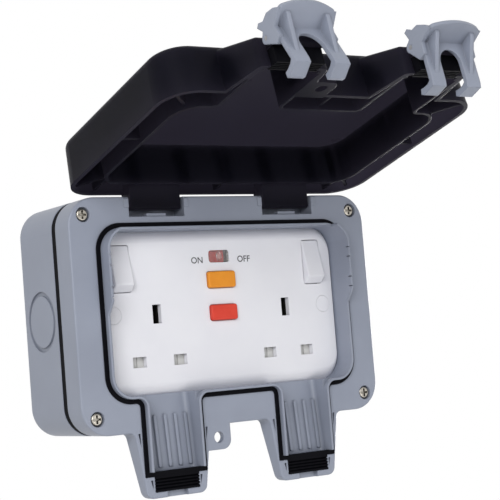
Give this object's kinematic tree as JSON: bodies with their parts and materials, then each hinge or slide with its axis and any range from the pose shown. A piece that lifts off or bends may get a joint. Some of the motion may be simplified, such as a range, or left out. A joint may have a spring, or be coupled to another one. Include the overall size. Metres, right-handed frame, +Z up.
{
  "type": "outdoor weatherproof socket",
  "caption": "Grey wall box with a black hinged lid on clip latches, over a switched white socket plate with trip buttons; cable outlets hang below, sealed with ribbed rubber.",
  "frame": {"origin": "centre of the wall box's back face, on the wall", "axes": "+X to the right as seen from the front, +Y into the wall, +Z up"},
  "size_m": [0.1686, 0.191, 0.2017],
  "materials": {
    "grey_shell": "satin moulded",
    "black_lid": "satin moulded",
    "black_rubber": "dull",
    "white_plate": "gloss",
    "orange_button": "satin",
    "red_button": "satin",
    "clear_window": "clear",
    "red_flag": "satin",
    "screw_steel": "nickel plated",
    "brass": "plain",
    "board_green": "satin",
    "coil_copper": "enamelled wire",
    "pin_steel": "plain"
  },
  "bodies": {
    "enclosure": {"back_box": "grey_shell", "box_gasket": "black_rubber", "cable_seal_left": "black_rubber", "cable_seal_right": "black_rubber", "earth_contact_left": "brass", "earth_contact_right": "brass", "frame_screws": "screw_steel", "front_frame": "grey_shell", "hinge_pin_left": "pin_steel", "hinge_pin_right": "pin_steel", "indicator_window": "clear_window", "lid_seal": "black_rubber", "live_contact_left": "brass", "live_contact_right": "brass", "neutral_contact_left": "brass", "neutral_contact_right": "brass", "plate_screws": "screw_steel", "rcd_board": "board_green", "rcd_coil": "coil_copper", "screw_cap_left": "white_plate", "screw_cap_right": "white_plate", "socket_base": "white_plate", "socket_plate": "white_plate", "terminal_blocks": "brass", "terminal_screws": "screw_steel", "trip_solenoid": "pin_steel"},
    "lid": {"lid": "black_lid", "lid_cable_seal_left": "black_rubber", "lid_cable_seal_right": "black_rubber", "latch_pin_left": "pin_steel", "latch_pin_right": "pin_steel"},
    "latch_left": {"latch_left": "grey_shell"},
    "latch_right": {"latch_right": "grey_shell"},
    "rocker_left": {"rocker_left": "white_plate"},
    "rocker_right": {"rocker_right": "white_plate"},
    "reset_button": {"reset_button": "orange_button"},
    "test_button": {"test_button": "red_button"},
    "indicator_flag": {"indicator_flag": "red_flag"},
    "shutter_left": {"shutter_left": "white_plate"},
    "shutter_right": {"shutter_right": "white_plate"}
  },
  "joints": [
    {"name": "lid_hinge", "type": "hinge", "parent": "enclosure", "child": "lid", "pos_m": [0, -0.0475, 0.0522], "axis": [1, 0, 0], "range_deg": [-10, 105]},
    {"name": "latch_left_pivot", "type": "hinge", "parent": "lid", "child": "latch_left", "pos_m": [-0.0374, -0.1735, 0.10201], "axis": [1, 0, 0], "range_deg": [-20, 22.5]},
    {"name": "latch_right_pivot", "type": "hinge", "parent": "lid", "child": "latch_right", "pos_m": [0.0374, -0.1735, 0.10201], "axis": [1, 0, 0], "range_deg": [-42.5, 0]},
    {"name": "rocker_left_tilt", "type": "hinge", "parent": "enclosure", "child": "rocker_left", "pos_m": [-0.05515, -0.0426, 0.0216], "axis": [1, 0, 0], "range_deg": [0, 20]},
    {"name": "rocker_right_tilt", "type": "hinge", "parent": "enclosure", "child": "rocker_right", "pos_m": [0.05515, -0.0426, 0.0216], "axis": [1, 0, 0], "range_deg": [0, 20]},
    {"name": "reset_press", "type": "slide", "parent": "enclosure", "child": "reset_button", "axis": [0, 1, 0], "range_m": [0, 0.0015], "stiffness_N_per_m": 800, "springref_m": -0.001},
    {"name": "test_press", "type": "slide", "parent": "enclosure", "child": "test_button", "axis": [0, 1, 0], "range_m": [0, 0.0015], "stiffness_N_per_m": 800, "springref_m": -0.001},
    {"name": "flag_slide", "type": "slide", "parent": "enclosure", "child": "indicator_flag", "axis": [-1, 0, 0], "range_m": [0, 0.007]},
    {"name": "shutter_left_slide", "type": "slide", "parent": "enclosure", "child": "shutter_left", "axis": [0, 0, -1], "range_m": [0, 0.0058], "stiffness_N_per_m": 60, "springref_m": -0.004},
    {"name": "shutter_right_slide", "type": "slide", "parent": "enclosure", "child": "shutter_right", "axis": [0, 0, -1], "range_m": [0, 0.0058], "stiffness_N_per_m": 60, "springref_m": -0.004}
  ]
}
